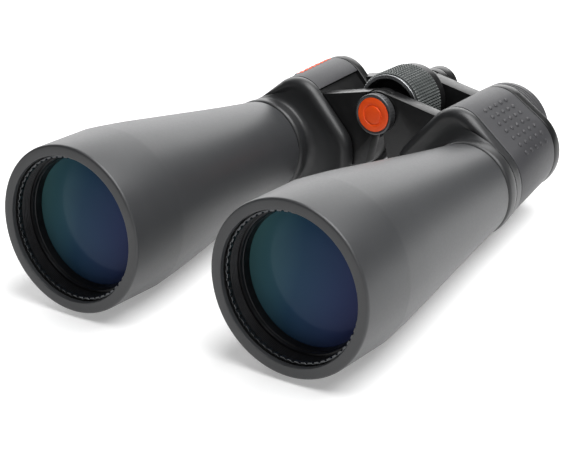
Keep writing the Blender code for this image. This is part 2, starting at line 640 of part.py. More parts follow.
def resting_pitch():
    """Slope of the line under the front barrels and the eyecups, which is the table's line."""
    fronts = [(y, -radius) for radius, y in BARREL_TAPER]
    cup_bottom = EYEPIECE_Z - EYECUP_RADIUS
    backs = [(266, cup_bottom), (276.8, cup_bottom), (EYECUP_END, EYEPIECE_Z - 24.2)]
    slopes = [max((z1 - z0) / (y1 - y0) for y0, z0 in fronts) for y1, z1 in backs]
    return math.atan(min(slopes))


def set_on_table(root):
    """Pitch the assembly onto the table and centre its box over the origin."""
    root.rotation_euler.x = -resting_pitch()
    bpy.context.view_layer.update()
    graph = bpy.context.evaluated_depsgraph_get()
    corners = []
    for piece in parts.objects:
        if piece.type != "EMPTY":
            shape = piece.evaluated_get(graph).to_mesh()
            corners += [piece.matrix_world @ vert.co for vert in shape.vertices]
            piece.evaluated_get(graph).to_mesh_clear()
    low = Vector([min(corner[axis] for corner in corners) for axis in range(3)])
    high = Vector([max(corner[axis] for corner in corners) for axis in range(3)])
    root.location = (-(low.x + high.x) / 2, -(low.y + high.y) / 2, -low.z)


def main():
    hinge_point = (0, 0, HINGE_Z)
    hinge = (0, HINGE_Z)
    root = add_frame("binoculars", (0, 0, 0))
    halves = {"left": add_frame("left_half", hinge_point, root)}
    halves["right"] = add_frame("right_half", hinge_point, root)
    for label, side in SIDES.items():
        half = halves[label]
        objective = (side * OBJECTIVE_X, 0)
        barrel_armour(label, objective, half)
        objective_tube(label, objective, half)
        retaining_ring(label, objective, half)
        objective_cell(label, objective, half)
        objective_lenses(label, objective, half)
        front_cover(label, side, half)
        prism_housing(label, side, half)
        grip_armour(label, side, half)
        prism_set(label, side, half)
        rear_cover(label, side, half)
        strap_lug(label, side, half)
        bridge = add_frame(label + "_bridge", hinge_point, half)
        bridge_arm(label, side, bridge)
        eyepiece_point = (side * EYEPIECE_X, 0, EYEPIECE_Z)
        ocular(label, side, add_frame(label + "_ocular", eyepiece_point, bridge))
        ring_frame = add_frame(label + "_ring", eyepiece_point, bridge)
        ring_name = "diopter_ring" if side < 0 else "left_eyepiece_ring"
        eyepiece_ring(ring_name, side, ring_frame)
    hinge_core(hinge, halves["left"])
    seal = add_frame("cap_travel", hinge_point, halves["left"])
    tripod_cap(hinge, seal, add_frame("cap_turn", hinge_point, seal))
    focus_wheel(hinge, add_frame("focus_wheel", hinge_point, halves["left"]))
    focus_spindle(hinge, add_frame("focus_travel", hinge_point, halves["left"]))
    set_on_table(root)


main()
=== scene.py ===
"""Looks of the astronomy binoculars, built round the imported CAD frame.

Shapes are made in the level design frame of the part, in millimetres: Y runs along the light path from
the objectives to the eyepieces, Z is up and X = 0 is the plane of the hinge. A finished mesh is turned
into the row's frame, where the binoculars lie pitched on the table.
"""
import json
import math

import bmesh
import bpy
from mathutils import Matrix, Vector


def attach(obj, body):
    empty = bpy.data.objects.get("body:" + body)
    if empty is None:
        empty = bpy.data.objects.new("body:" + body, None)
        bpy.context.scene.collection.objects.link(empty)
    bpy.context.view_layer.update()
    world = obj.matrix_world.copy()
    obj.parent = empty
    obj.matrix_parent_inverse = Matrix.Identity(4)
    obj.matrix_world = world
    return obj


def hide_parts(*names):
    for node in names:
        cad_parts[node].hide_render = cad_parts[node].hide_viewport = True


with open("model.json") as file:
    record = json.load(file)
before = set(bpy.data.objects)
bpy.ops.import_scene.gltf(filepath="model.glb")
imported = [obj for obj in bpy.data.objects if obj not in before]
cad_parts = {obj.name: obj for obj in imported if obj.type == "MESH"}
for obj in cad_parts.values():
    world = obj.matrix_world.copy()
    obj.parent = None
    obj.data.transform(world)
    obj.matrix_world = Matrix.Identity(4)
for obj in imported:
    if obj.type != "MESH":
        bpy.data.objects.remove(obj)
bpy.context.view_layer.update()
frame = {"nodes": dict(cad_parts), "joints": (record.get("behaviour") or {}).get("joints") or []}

MM = 0.001
SIDES = {"left": 1, "right": -1}
SMOOTH = 144                # facets round a large turned piece
FINE = 96                   # facets round a small turned piece

# The part's own measures, in the design frame
OBJECTIVE_X = 66.2
EYEPIECE_X, EYEPIECE_Z = 32.5, 2.0
HINGE_Z = 27.0
HINGE = (0, HINGE_Z)
HINGE_MARK = 200            # design Y of the point that the hinge joints name
RIM_RADIUS = 44.0
MOUTH_RADIUS = 38.2
BARREL_TAPER = ((25.8, 164.2), (26.4, 160), (29.1, 140), (32.0, 120), (35.0, 100), (38.0, 80),
                (41.0, 60), (42.9, 45), (RIM_RADIUS, 35))
ARMOUR_THICKNESS = 1.8
EYEPIECE_CIRCLES = ((33.0, 2.0, 17.0), (33.0, -3.0, 17.0))
FRONT_CIRCLES = ((OBJECTIVE_X, 0.6, 24.0), (51.4, 21.5, 17.6)) + EYEPIECE_CIRCLES
BACK_CIRCLES = ((64.6, 7.6, 23.6), (52.6, 22.8, 17.8)) + EYEPIECE_CIRCLES
BAND_THICKNESS = 1.7
BAND_FROM, BAND_TO = -108, 135
COLLAR_RADIUS = 26.2
COVER_FRONT, COVER_FACE, COVER_BACK = 165.0, 175.0, 182.0
TUBE_ROOM = 25.4            # the front cover stays this far from the tube's axis
HOUSING_FRONT, HOUSING_BACK = 182.9, 223.1
REAR_FRONT, REAR_BACK = 223.4, 230.8
ARM_FRONT = (182.5, 191.0)
ARM_REAR = (225.8, 236.0)
BRIDGE = (239.8, 250.2)
LUG_RADIUS, LUG_CLEARANCE, AXLE_BORE = 12.0, 12.6, 6.3
HUB_RADIUS = 11.0
GUIDE_BORE = 12.7           # room for an ocular barrel in the rear cover and the bridge
SCREW_FACINGS, SCREW_INSET = (90, -75), -6.2
SHELL_RADIUS = 19.2
EYECUP_RADIUS, EYECUP_END = 25.2, 278.0

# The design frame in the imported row: its Y is the hinge axis
wheel_joint = {joint["name"]: joint for joint in frame["joints"]}["focus_wheel_turn"]
lean = Vector((0, 1, 0)).rotation_difference(Vector(wheel_joint["axis"])).to_matrix().to_4x4()
DESIGN = (Matrix.Translation(Vector(wheel_joint["pos_m"])) @ lean
          @ Matrix.Translation(Vector((0, -HINGE_MARK, -HINGE_Z)) * MM))

bpy.context.view_layer.update()
scene = bpy.context.scene


# ---------------------------------------------------------------------------------------------------
# Materials
# ---------------------------------------------------------------------------------------------------

class Surface:
    """A Principled material whose nodes are added one by one."""

    def __init__(self, name, roughness, metallic=0.0, **sockets):
        self.material = bpy.data.materials.new(name)
        self.material.use_nodes = True
        self.tree = self.material.node_tree
        self.shader = self.tree.nodes["Principled BSDF"]
        self.shader.inputs["Roughness"].default_value = roughness
        self.shader.inputs["Metallic"].default_value = metallic
        for socket, value in sockets.items():
            self.shader.inputs[socket.replace("_", " ")].default_value = value
        self.place = self.design_place()
        self.normal = None

    def design_place(self):
        """Coordinates in the level design frame, which turned pieces are square to."""
        source = self.tree.nodes.new("ShaderNodeTexCoord")
        mapping = self.tree.nodes.new("ShaderNodeMapping")
        mapping.vector_type = "TEXTURE"
        mapping.inputs["Location"].default_value = DESIGN.to_translation()
        mapping.inputs["Rotation"].default_value = DESIGN.to_euler()
        self.tree.links.new(source.outputs["Object"], mapping.inputs["Vector"])
        return mapping.outputs["Vector"]

    def node(self, kind, **values):
        node = self.tree.nodes.new(kind)
        for key, value in values.items():
            if key in node.inputs:
                node.inputs[key].default_value = value
            else:
                setattr(node, key, value)
        return node

    def link(self, output, target):
        self.tree.links.new(output, target)

    def noise(self, size_mm, detail=2.0, rough=0.5):
        """Noise whose features are about size_mm across."""
        texture = self.node("ShaderNodeTexNoise", Scale=1 / (size_mm * MM), Detail=detail, Roughness=rough)
        self.link(self.place, texture.inputs["Vector"])
        return texture.outputs["Fac"]

    def spread(self, value, low, high, source=(0.3, 0.7)):
        """Map a noise value to the range from low to high."""
        ramp = self.node("ShaderNodeMapRange")
        for index, number in enumerate((*source, low, high)):
            ramp.inputs[index + 1].default_value = number
        self.link(value, ramp.inputs[0])
        return ramp.outputs[0]

    def colour(self, first, second, value, source=(0.3, 0.7)):
        """Colour between first and second by a value."""
        mix = self.node("ShaderNodeMix", data_type="RGBA")
        self.link(self.spread(value, 0.0, 1.0, source), mix.inputs["Factor"])
        mix.inputs[6].default_value = (*first, 1)
        mix.inputs[7].default_value = (*second, 1)
        self.link(mix.outputs[2], self.shader.inputs["Base Color"])

    def roughen(self, value, low, high):
        """Roughness between low and high by a value."""
        self.link(self.spread(value, low, high), self.shader.inputs["Roughness"])

    def bump(self, height, depth_mm, strength=1.0):
        """Add relief of depth_mm to the normal."""
        relief = self.node("ShaderNodeBump", Distance=depth_mm * MM, Strength=strength)
        self.link(height, relief.inputs["Height"])
        if self.normal:
            self.link(self.normal, relief.inputs["Normal"])
        self.normal = relief.outputs["Normal"]
        self.link(self.normal, self.shader.inputs["Normal"])

    def rings(self, pitch_mm, axis="Y"):
        """Fine machining rings along an axis."""
        wave = self.node("ShaderNodeTexWave", wave_type="BANDS", bands_direction=axis, Distortion=0.6,
                         Detail=2.0)
        wave.inputs["Scale"].default_value = 0.31 / (pitch_mm * MM)
        self.link(self.place, wave.inputs["Vector"])
        return wave.outputs["Fac"]


def rubber(name, dark, light, grain_mm=0.35, depth_mm=0.03, roughness=(0.40, 0.44)):
    """Moulded rubber: fine grain and very soft mottling."""
    skin = Surface(name, 0.5, Specular_IOR_Level=0.5)
    skin.colour(dark, light, skin.noise(14, 4.0, 0.6))
    skin.roughen(skin.noise(1.2, 3.0), *roughness)
    skin.bump(skin.noise(grain_mm, 3.0, 0.6), depth_mm, 0.6)
    return skin.material


def painted(name, dark, light, roughness=(0.28, 0.38), metallic=0.3, depth_mm=0.02):
    """Powder-coated casting with a fine orange peel."""
    skin = Surface(name, 0.33, metallic, Specular_IOR_Level=0.5)
    skin.colour(dark, light, skin.noise(8, 3.0, 0.6))
    skin.roughen(skin.noise(3, 2.0), *roughness)
    skin.bump(skin.noise(0.8, 2.0, 0.5), depth_mm, 0.5)
    return skin.material


def machined(name, dark, light, roughness, pitch_mm=0.25, depth_mm=0.012, metallic=1.0):
    """Turned metal with fine rings."""
    skin = Surface(name, roughness[0], metallic)
    skin.colour(dark, light, skin.noise(4, 3.0, 0.6))
    skin.roughen(skin.noise(1.5, 2.0), *roughness)
    skin.bump(skin.rings(pitch_mm), depth_mm, 0.5)
    return skin.material


def coated_glass(name, side, centre_x, radius_mm, painted_reflection_stops):
    """Multi-coated lens with a painted reflection: the base colour's tint runs from one edge of the disc to
    the other and shifts with height.
    """
    skin = Surface(name, 0.12, 0.05, Specular_IOR_Level=0.05)
    parts_of_place = skin.node("ShaderNodeSeparateXYZ")
    skin.link(skin.place, parts_of_place.inputs[0])
    across = skin.node("ShaderNodeMath", operation="MULTIPLY_ADD")
    skin.link(parts_of_place.outputs["X"], across.inputs[0])
    across.inputs[1].default_value = 0.5 / (radius_mm * MM)
    across.inputs[2].default_value = 0.5 - side * centre_x / (2 * radius_mm)
    tilt = skin.node("ShaderNodeMath", operation="MULTIPLY_ADD")
    skin.link(parts_of_place.outputs["Z"], tilt.inputs[0])
    tilt.inputs[1].default_value = -0.12 / (radius_mm * MM)
    skin.link(across.outputs[0], tilt.inputs[2])
    wander = skin.node("ShaderNodeMath", operation="MULTIPLY_ADD")
    skin.link(skin.noise(30, 1.0), wander.inputs[0])
    wander.inputs[1].default_value = 0.12
    skin.link(tilt.outputs[0], wander.inputs[2])
    # Painted reflection: the ramp puts the coating's reflected tints into the base colour
    ramp = skin.node("ShaderNodeValToRGB")
    skin.link(wander.outputs[0], ramp.inputs["Fac"])
    stops = ramp.color_ramp.elements
    while len(stops) < len(painted_reflection_stops):
        stops.new(0.5)
    for stop, (position, shade) in zip(stops, painted_reflection_stops):
        stop.position = position
        stop.color = (*shade, 1)
    skin.link(ramp.outputs["Color"], skin.shader.inputs["Base Color"])
    skin.roughen(skin.noise(12, 2.0), 0.10, 0.15)
    return skin.material


def clear_glass(name):
    """Uncoated optical glass with faint internal tint."""
    skin = Surface(name, 0.03, 0.0, Transmission_Weight=0.9, IOR=1.55)
    skin.colour((0.80, 0.86, 0.86), (0.88, 0.92, 0.92), skin.noise(20, 1.0))
    skin.roughen(skin.noise(6, 2.0), 0.02, 0.05)
    return skin.material


# Painted reflection of the coated lenses, from one edge to the other; the objective's first stop is lighter,
# painting light into the edge that the cell shades
OBJECTIVE_PAINTED_REFLECTION = ((0.02, (0.048, 0.120, 0.125)), (0.20, (0.036, 0.092, 0.112)),
                    (0.50, (0.020, 0.050, 0.092)), (0.98, (0.026, 0.034, 0.100)))
EYE_PAINTED_REFLECTION = ((0.1, (0.05, 0.09, 0.06)), (0.9, (0.07, 0.05, 0.10)))

ARMOUR = rubber("rubber_armour", (0.029, 0.030, 0.032), (0.032, 0.033, 0.035), 0.35, 0.012)
# The covers' rubber is darker than the barrels' armour: painted shade for the dark valley and the flanks
# between the barrels
COVER_RUBBER_PAINTED_SHADE = rubber("cover_rubber_painted_shade", (0.014, 0.0145, 0.0155), (0.017, 0.0175, 0.0185), 0.35, 0.012)
GRIP_RUBBER = rubber("grip_rubber", (0.024, 0.024, 0.027), (0.028, 0.028, 0.031), 0.4, 0.02,
                     (0.48, 0.53))
EYECUP_RUBBER = rubber("eyecup_rubber", (0.030, 0.030, 0.032), (0.045, 0.044, 0.047), 0.4, 0.04)
KNURL_RUBBER = rubber("knurled_rubber", (0.046, 0.051, 0.051), (0.070, 0.077, 0.075), 0.6, 0.04,
                      (0.35, 0.45))
SEAL_RUBBER = rubber("seal_rubber", (0.020, 0.020, 0.021), (0.030, 0.030, 0.031), 0.8, 0.03)
CASTING = painted("satin_black_casting", (0.008, 0.008, 0.0085), (0.012, 0.012, 0.0125))
CAP_PAINT = painted("cap_paint", (0.060, 0.061, 0.064), (0.085, 0.086, 0.090), (0.26, 0.36), 0.5)
ORANGE = painted("orange_enamel", (0.86, 0.070, 0.003), (0.94, 0.095, 0.004), (0.34, 0.46), 0.0, 0.03)
INNER_BLACK = machined("anodised_black", (0.008, 0.008, 0.009), (0.014, 0.014, 0.016), (0.30, 0.40), 1.1,
                       0.006, 0.6)
RING_BLACK = machined("glossy_black_ring", (0.055, 0.057, 0.060), (0.085, 0.088, 0.092), (0.16, 0.26), 1.1,
                      0.006, 0.9)
ALUMINIUM = machined("bright_aluminium", (0.30, 0.31, 0.32), (0.40, 0.41, 0.42), (0.26, 0.36))
STEEL = machined("plain_steel", (0.42, 0.42, 0.42), (0.55, 0.55, 0.54), (0.25, 0.38))
BRASS = machined("turned_brass", (0.62, 0.42, 0.18), (0.74, 0.54, 0.27), (0.22, 0.34))
CLEAR_GLASS = clear_glass("prism_glass")

CAD_FINISHES = {"objective_tube": CASTING, "flint_lens": CLEAR_GLASS, "prism_plate": CASTING,
                "front_prism": CLEAR_GLASS, "rear_prism": CLEAR_GLASS, "front_prism_strap": STEEL,
                "rear_prism_strap": STEEL, "field_lens": CLEAR_GLASS}
CENTRE_FINISHES = {"hinge_axle": STEEL, "tripod_bush": BRASS, "front_washer": STEEL,
                   "rear_washer": STEEL, "focus_spindle": STEEL, "cap_seal": SEAL_RUBBER}


def finish_cad_nodes():
    """Give each CAD node that stays in view its procedural material."""
    finishes = {f"{label}_{name}": finish for label in SIDES for name, finish in CAD_FINISHES.items()}
    finishes.update(CENTRE_FINISHES)
    for name, finish in finishes.items():
        mesh = frame["nodes"][name].data
        mesh.materials.clear()
        mesh.materials.append(finish)


# ---------------------------------------------------------------------------------------------------
# Making tools
# ---------------------------------------------------------------------------------------------------

def shade(mesh, sharp=32):
    """Smooth shading with sharp corners over the given angle in degrees."""
    mesh.shade_smooth()
    mesh.set_sharp_from_angle(angle=math.radians(sharp))


def place(name, edit, material, sharp=32):
    """Store the edited faces as an object in the design frame."""
    bmesh.ops.remove_doubles(edit, verts=edit.verts, dist=1e-7)
    bmesh.ops.recalc_face_normals(edit, faces=edit.faces)
    mesh = bpy.data.meshes.new(name)
    edit.to_mesh(mesh)
    edit.free()
    shade(mesh, sharp)
    mesh.materials.append(material)
    piece = bpy.data.objects.new(name, mesh)
    scene.collection.objects.link(piece)
    return piece


def show(piece, body, slot, *nodes):
    """Move a finished piece to the row's frame and let it ride on a body and stand for CAD nodes."""
    piece.data.transform(DESIGN)
    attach(piece, body)
    if nodes:
        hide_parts(*nodes)
    return piece


def filleted(points, closed=True, arc=5):
    """Round each (a, b, radius) corner of a line; corners without a radius stay sharp."""
    result = []
    for k, point in enumerate(points):
        radius = point[2] if len(point) > 2 else 0
        if not radius or (not closed and k in (0, len(points) - 1)):
            result.append(point[:2])
            continue
        corner = Vector(point[:2])
        before = Vector(points[k - 1][:2]) - corner
        after = Vector(points[(k + 1) % len(points)][:2]) - corner
        reach = min(radius / math.tan(before.angle(after) / 2), before.length * 0.49, after.length * 0.49)
        start = corner + before.normalized() * reach
        end = corner + after.normalized() * reach
        for step in range(arc + 1):
            t = step / arc
            spot = start * (1 - t) ** 2 + corner * (2 * t * (1 - t)) + end * t ** 2
            result.append((spot.x, spot.y))
    return result


def curve_through(points, steps=6):
    """Catmull-Rom line through (a, b) points."""
    spots = [Vector(point) for point in points]
    spots = [spots[0] * 2 - spots[1]] + spots + [spots[-1] * 2 - spots[-2]]
    line = []
    for p0, p1, p2, p3 in zip(spots, spots[1:], spots[2:], spots[3:]):
        for step in range(steps):
            t = step / steps
            line.append(tuple(0.5 * (2 * p1 + (p2 - p0) * t + (2 * p0 - 5 * p1 + 4 * p2 - p3) * t ** 2
                                     + (3 * p1 - p0 - 3 * p2 + p3) * t ** 3)))
    return line + [tuple(spots[-2])]


def skin(edit, rings, closed):
    """Join neighbouring rings of vertices with faces; a ring of one vertex closes to a point."""
    pairs = list(zip(rings, rings[1:])) + ([(rings[-1], rings[0])] if closed else [])
    for near, far in pairs:
        count = max(len(near), len(far))
        for k in range(count):
            corners = [near[(k - 1) % len(near)], near[k % len(near)], far[k % len(far)],
                       far[(k - 1) % len(far)]]
            unique = list(dict.fromkeys(corners))
            if len(unique) > 2:
                edit.faces.new(unique)


def turned(name, profile, centre, material, steps=SMOOTH, shape=None, sharp=32):
    """Turn a profile of (radius, y) points about the line along Y through centre (x, z).

    shape(radius, y, turn) may change the radius round the axis. A profile that starts on the axis is
    solid, any other one closes on itself.
    """
    edit = bmesh.new()
    rings = []
    for radius, y in profile:
        if radius < 0.01:
            rings.append([edit.verts.new((centre[0] * MM, y * MM, centre[1] * MM))])
            continue
        ring = []
        for k in range(steps):
            turn = 2 * math.pi * k / steps
            r = shape(radius, y, turn) if shape else radius
            ring.append(edit.verts.new(((centre[0] + r * math.cos(turn)) * MM, y * MM,
                                        (centre[1] + r * math.sin(turn)) * MM)))
        rings.append(ring)
    skin(edit, rings, closed=profile[0][0] >= 0.01)
    return place(name, edit, material, sharp)


def loft(name, rings, material, closed=True, capped=False, sharp=32):
    """Skin rings of (x, y, z) points; a closed loft joins the last ring to the first."""
    edit = bmesh.new()
    loops = [[edit.verts.new(Vector(point) * MM) for point in ring] for ring in rings]
    skin(edit, loops, closed)
    if capped:
        edit.faces.new(loops[0])
        edit.faces.new(loops[-1])
    return place(name, edit, material, sharp)


def slab(name, outline, span, material):
    """Extrude an outline of (x, z) points along Y."""
    return loft(name, [[(x, y, z) for x, z in outline] for y in span], material, False, True)


def plug(name, profile, centre, material, steps=FINE):
    """A solid of revolution along Y with one flat face at each end, used to cut and to join."""
    turns = [2 * math.pi * k / steps for k in range(steps)]
    rings = [[(centre[0] + radius * math.cos(turn), y, centre[1] + radius * math.sin(turn))
              for turn in turns] for radius, y in profile]
    return loft(name, rings, material, False, True)


def rod(name, radius, span, centre, material, steps=FINE):
    """A plain round bar along Y."""
    return plug(name, [(radius, span[0]), (radius, span[1])], centre, material, steps)


def carve(piece, steps, bevel=0.0, segments=3, angle=40):
    """Apply (operation, tool) steps to a piece, then round its edges; the tools are removed."""
    for operation, tool in steps:
        change = piece.modifiers.new(tool.name, "BOOLEAN")
        change.operation = operation
        change.object = tool
    if bevel:
        edge = piece.modifiers.new("edge", "BEVEL")
        edge.width = bevel * MM
        edge.segments = segments
        edge.limit_method = "ANGLE"
        edge.angle_limit = math.radians(angle)
        edge.use_clamp_overlap = True
    bpy.context.view_layer.update()
    evaluated = piece.evaluated_get(bpy.context.evaluated_depsgraph_get())
    mesh = bpy.data.meshes.new_from_object(evaluated)
    material = piece.data.materials[0]
    piece.modifiers.clear()
    piece.data = mesh
    mesh.materials.clear()
    mesh.materials.append(material)
    mesh.polygons.foreach_set("material_index", [0] * len(mesh.polygons))
    shade(mesh)
    for _, tool in steps:
        bpy.data.objects.remove(tool)
    return piece


def hull_point(circles, facing, offset, side):
    """The point of the hull of circles that faces the given angle in degrees, moved out by offset."""
    across, up = math.cos(math.radians(facing)), math.sin(math.radians(facing))
    x, z, radius = max(circles, key=lambda circle: circle[0] * across + circle[1] * up + circle[2])
    return side * (x + (radius + offset) * across), z + (radius + offset) * up


def housing_spot(facing, y, offset=0.0):
    """The (x, z) of the left housing at depth y that faces an angle, moved out by offset."""
    share = (y - COVER_BACK) / (REAR_FRONT - COVER_BACK)
    x0, z0 = hull_point(FRONT_CIRCLES, facing, offset, 1)
    x1, z1 = hull_point(BACK_CIRCLES, facing, offset, 1)
    return x0 + (x1 - x0) * share, z0 + (z1 - z0) * share


def wrapped(name, section, start, end, side, material):
    """Sweep a closed section of (offset, y) points round the housing, in steps of one degree."""
    whole = end - start == 360
    rings = []
    for facing in range(start, end + (not whole)):
        spots = [(housing_spot(facing, y, offset), y) for offset, y in section]
        rings.append([(side * x, y, z) for (x, z), y in spots])
    return loft(name, rings, material, closed=whole, capped=not whole)


# ---------------------------------------------------------------------------------------------------
# Objective barrels
# ---------------------------------------------------------------------------------------------------

def barrel_armour(label, centre):
    """Rubber skin of the barrel: straight front, taper and a flat-faced rim."""
    inner = [(radius - ARMOUR_THICKNESS, y) for radius, y in BARREL_TAPER]
    outer = curve_through(BARREL_TAPER, 4)
    outer[0] = (*outer[0], 0.5)
    rim = [(RIM_RADIUS, 0, 1.5), (MOUTH_RADIUS, 0, 0.6), (MOUTH_RADIUS, 2.6),
           (RIM_RADIUS - ARMOUR_THICKNESS, 2.6)]
    piece = turned(label + "_barrel_skin", filleted(outer + rim + inner[::-1]), centre, ARMOUR, SMOOTH)
    show(piece, label + "_half", "rubber_armour", label + "_barrel_armour")


def retaining_ring(label, centre):
    """Threaded ring with fine teeth round its inner edge."""
    teeth = 60
    profile = filleted([(37.6, 3.2, 0.1), (36.4, 3.2, 0.35), (36.4, 5.4, 0.2), (37.6, 5.4, 0.1)], arc=3)

    def toothed(radius, y, turn):
        return radius + 0.7 * (math.sin(turn * teeth) > 0.2) if radius < 36.9 else radius

    piece = turned(label + "_toothed_ring", profile, centre, RING_BLACK, teeth * 8, toothed)
    show(piece, label + "_half", "anodised_black", label + "_retaining_ring")


def objective_cell(label, centre):
    """Stepped black sleeve with baffle grooves in front of the lens."""
    grooves = []
    for k in range(5):
        y = 6.3 + k * 1.1
        grooves += [(37.0, y), (36.55, y + 0.35), (36.55, y + 0.7), (37.0, y + 1.05)]
    bore = [(37.9, 5.7), (37.0, 5.7, 0.1)] + grooves + [(37.0, 11.8), (35.5, 11.9, 0.25), (35.2, 13.6),
                                                       (34.9, 13.9), (34.3, 17.6), (34.3, 17.8)]
    profile = [(37.9, 31.0)] + bore + [(35.3, 17.8), (35.3, 31.0)]
    piece = turned(label + "_lens_sleeve", filleted(profile, arc=2), centre, INNER_BLACK)
    show(piece, label + "_half", "anodised_black", label + "_objective_cell")


def objective_lens(label, side, centre):
    """Front element of the doublet: a shallow dome with a ground edge."""
    radius, edge_front, front, back, edge_back = 34.9, 18.2, 14.3, 24.0, 20.6
    rings = 20
    dome = [(radius * k / rings, front + (edge_front - front) * (k / rings) ** 2) for k in range(rings + 1)]
    bowl = [(radius * k / 8, back + (edge_back - back) * (k / 8) ** 2) for k in range(8, -1, -1)]
    painted_reflection = coated_glass(label + "_objective_painted_reflection", side, OBJECTIVE_X, radius, OBJECTIVE_PAINTED_REFLECTION)
    piece = turned(label + "_front_element", dome + bowl, centre, painted_reflection)
    show(piece, label + "_half", "coated_glass", label + "_crown_lens")


# ---------------------------------------------------------------------------------------------------
# Prism housings
# ---------------------------------------------------------------------------------------------------

def cover_section(stations, wall, side):
    """Rings of the front cover between the barrel's circle and the housing's outline."""
    rings = []
    count = 180
    for y, share, offset in stations:
        ring = []
        floor = TUBE_ROOM - 0.145 * max(0, y - 172) - wall
        shrunk = [(x, z, radius + offset) for x, z, radius in FRONT_CIRCLES] + [(OBJECTIVE_X, 0, floor)]
        for k in range(count):
            facing = 360 * k / count
            x0, z0 = hull_point(((OBJECTIVE_X, 0, COLLAR_RADIUS + offset),), facing, 0, side)
            x1, z1 = hull_point(shrunk, facing, 0, side)
            ring.append((x0 + (x1 - x0) * share, y, z0 + (z1 - z0) * share))
        rings.append(ring)
    return rings


def front_cover(label, side):
    """Shoulder of rubber darkened as painted shade: rounded collar, a valley and a broad ridge at the
    housing's outline.
    """
    front, face, back = COVER_FRONT, COVER_FACE, COVER_BACK
    outside = [(front, 0, -1.5), (front + 0.45, 0, -0.6), (front + 1.1, 0, -0.05), (front + 2.5, 0, 0.05),
               (front + 4.5, 0, 0.0), (front + 6.3, 0, -0.2), (front + 7.4, 0.02, -0.4),
               (front + 8.6, 0.08, -0.8), (face - 0.5, 0.22, -1.1), (face + 0.4, 0.5, -3.2),
               (face + 0.7, 0.8, -5.6), (face + 0.4, 1, -5.6), (face + 0.1, 1, -4.4), (face + 0.15, 1, -3.2),
               (face + 0.7, 1, -1.9), (face + 1.6, 1, -0.9), (face + 2.8, 1, -0.25), (face + 4.2, 1, 0.05),
               (back - 0.8, 1, 0.05), (back - 0.2, 1, -0.15), (back, 1, -0.6)]
    inside = [(back, 1, -2.4), (face + 2.9, 1, -6.5), (face + 1.6, 0.2, -2.4), (front + 7.6, 0, -2.0),
              (front, 0, -2.0)]
    rings = cover_section(outside, 0, side) + cover_section(inside, 2.4, side)
    piece = loft(label + "_shoulder", rings, COVER_RUBBER_PAINTED_SHADE, sharp=50)
    show(piece, label + "_half", "rubber_armour", label + "_front_cover")


def arm_outline(side, bottom):
    """Outline of a hinge arm, from the hinge to inside the housing."""
    points = [(1.5, 22), (1.5, 38.4), (5, 38.2), (14, 36.2), (27, 33.4), (40, 30.6), (40, bottom),
              (22, bottom), (0.25 * (HINGE_Z - bottom - 4), bottom + 4)]
    return [(side * x, z) for x, z in points]


def lug_spans(span, side):
    """Depths of an arm's own lug and of the room for the other arm's; the left lug is the front one."""
    middle = (span[0] + span[1]) / 2
    fronts, backs = (span[0] - 0.2, middle - 0.25), (middle + 0.25, span[1] + 0.2)
    own, other = (fronts, backs) if side > 0 else (backs, fronts)
    return own, (other[0] - 1.5, other[1] + 1.5)


def hinge_arm(name, outline, span, side):
    """An arm with its lug on the hinge's axle."""
    own, room = lug_spans(span, side)
    arm = slab(name, outline, span, CASTING)
    steps = [("DIFFERENCE", rod(name + "_room", LUG_CLEARANCE, room, HINGE, CASTING)),
             ("UNION", rod(name + "_lug", LUG_RADIUS, own, HINGE, CASTING)),
             ("DIFFERENCE", rod(name + "_bore", AXLE_BORE, (span[0] - 5, span[1] + 5), HINGE, CASTING, 64))]
    return carve(arm, steps, 0.45)


def prism_housing(label, side):
    """Die casting with its front arm; the casting shows on the hinge side, inside the rubber."""
    skin_depth = BAND_THICKNESS + 0.3
    section = filleted([(-skin_depth, HOUSING_FRONT, 0.4), (-skin_depth, HOUSING_BACK, 0.4),
                        (-skin_depth - 2, HOUSING_BACK), (-skin_depth - 2, HOUSING_FRONT)], arc=3)
    shell = wrapped(label + "_casting", section, -180, 180, side, CASTING)
    show(shell, label + "_half", "satin_black", label + "_prism_housing")
    arm = hinge_arm(label + "_front_arm", arm_outline(side, -8), ARM_FRONT, side)
    show(arm, label + "_half", "satin_black")


def raised_dot(edit, spot, normal, along, across, radius, height):
    """Add a low dome to the edited mesh."""
    rings = 4
    loops = []
    for k in range(rings):
        angle = math.pi / 2 * k / rings
        r, h = radius * math.cos(angle), height * math.sin(angle) - 0.15 * (k == 0)
        level = spot + normal * h
        loops.append([edit.verts.new((level + (along * math.cos(t) + across * math.sin(t)) * r) * MM)
                      for t in (2 * math.pi * s / 14 for s in range(14))])
    top = edit.verts.new((spot + normal * height) * MM)
    skin(edit, loops + [[top]], False)
    edit.faces.new(loops[0])


def slope_spot(side, run, y):
    """Point, outward normal and downhill direction, run mm down the outside from its 60 degree facing."""
    spots = [Vector(housing_spot(facing, y)) for facing in range(60, -60, -1)]
    for upper, lower in zip(spots, spots[1:]):
        step = lower - upper
        if run < step.length:
            down = step.normalized()
            x, z = upper + down * run
            return (Vector((side * x, y, z)), Vector((-side * down.y, 0, down.x)),
                    Vector((side * down.x, 0, down.y)))
        run -= step.length


def grip_armour(label, side):
    """Rubber band round the housing with a field of raised dots on its slanted face."""
    section = filleted([(0, COVER_BACK + 0.3, 0.5), (0, REAR_FRONT - 0.3, 0.5),
                        (-BAND_THICKNESS, REAR_FRONT - 0.3), (-BAND_THICKNESS, COVER_BACK + 0.3)], arc=4)
    band = wrapped(label + "_grip", section, BAND_FROM, BAND_TO, side, GRIP_RUBBER)
    edit = bmesh.new()
    edit.from_mesh(band.data)
    for row in range(7):
        for column in range(5):
            spot, normal, down = slope_spot(side, 1 + row * 5.2, 191.5 + column * 5.4 + row * 0.6)
            raised_dot(edit, spot, normal, Vector((0, 1, 0)), down, 1.35, 0.6)
    edit.to_mesh(band.data)
    edit.free()
    shade(band.data)
    show(band, label + "_half", "rubber_armour", label + "_grip_armour")


